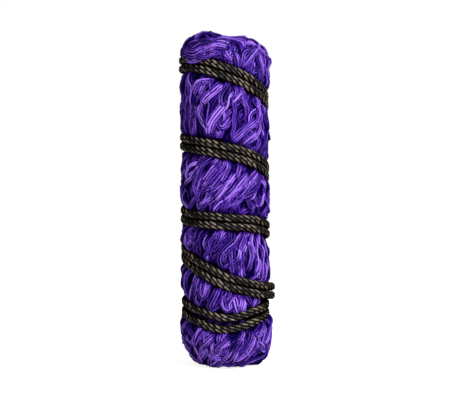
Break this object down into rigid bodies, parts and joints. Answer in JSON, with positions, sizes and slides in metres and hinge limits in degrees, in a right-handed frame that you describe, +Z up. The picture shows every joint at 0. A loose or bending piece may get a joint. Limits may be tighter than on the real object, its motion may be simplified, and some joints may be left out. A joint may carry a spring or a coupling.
{
  "type": "rolled hay net",
  "caption": "Coarse twine net rolled into an upright bundle, folded over at both ends and bound round by its own doubled drawcord in a descending spiral.",
  "frame": {"origin": "centre of the bounding box on the surface that the roll stands on", "axes": "+Z up along the roll, -Y towards the front where all five visible bands of cord descend to the right, +X to the right"},
  "size_m": [0.093, 0.0893, 0.3198],
  "materials": {
    "net": "glossy violet twisted multifilament twine, knotted and bundled",
    "net_inner": "the same violet twine, seen only in the shade between the outer strands",
    "drawcord": "near-black laid cord, matte with a faint olive-grey sheen"
  },
  "bodies": {
    "root": {"net_inner_roll": "net_inner", "net_outer_layer": "net", "net_foot_fold": "net", "net_top_fold_left": "net", "net_top_fold_right": "net", "drawcord_upper_run": "drawcord", "drawcord_lower_run": "drawcord"}
  },
  "joints": []
}
